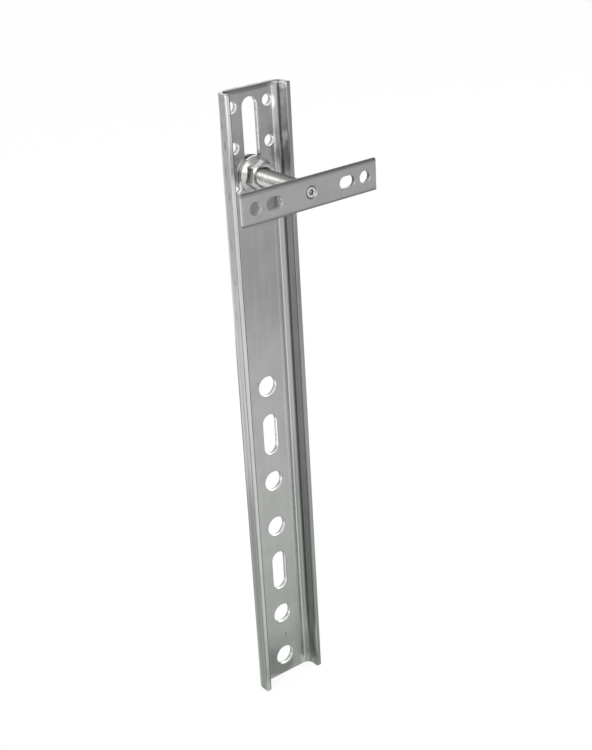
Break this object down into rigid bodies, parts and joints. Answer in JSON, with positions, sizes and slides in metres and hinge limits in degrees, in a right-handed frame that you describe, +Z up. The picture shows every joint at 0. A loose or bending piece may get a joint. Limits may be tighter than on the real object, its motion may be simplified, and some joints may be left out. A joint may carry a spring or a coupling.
{
  "type": "adjustable cantilever bracket",
  "caption": "Channel rail that bolts up by its lower half, with a threaded stud clamped in a long slot near its free end and a flat cross bar on the stud.",
  "frame": {"origin": "centre of the middle anchor hole, on the plane of the rail's back that lies on the wall", "axes": "+Z up the rail towards its free end, +Y into the wall, -Y out along the stud to the cross bar, +X across the rail"},
  "size_m": [0.092, 0.0679, 0.39],
  "materials": {
    "rail_steel": "galvanised, satin",
    "bar_steel": "galvanised, matt",
    "stud_zinc": "bright zinc plate",
    "nut_zinc": "bright zinc plate",
    "screw_zinc": "bright zinc plate"
  },
  "bodies": {
    "rail": {"channel_rail": "rail_steel"},
    "nuts": {"front_flange_nut": "nut_zinc", "rear_flange_nut": "nut_zinc"},
    "stud": {"threaded_stud": "stud_zinc", "centre_screw": "screw_zinc"},
    "bar": {"cross_bar": "bar_steel"}
  },
  "joints": [
    {"name": "height_slide", "type": "slide", "parent": "rail", "child": "nuts", "axis": [0, 0, 1], "range_m": [-0.0046, 0.0388]},
    {"name": "depth_slide", "type": "slide", "parent": "nuts", "child": "stud", "axis": [0, -1, 0], "range_m": [-0.0385, 0.0024]},
    {"name": "bar_swivel", "type": "hinge", "parent": "stud", "child": "bar", "pos_m": [0, -0.054, 0.22905], "axis": [0, -1, 0], "continuous": true}
  ]
}
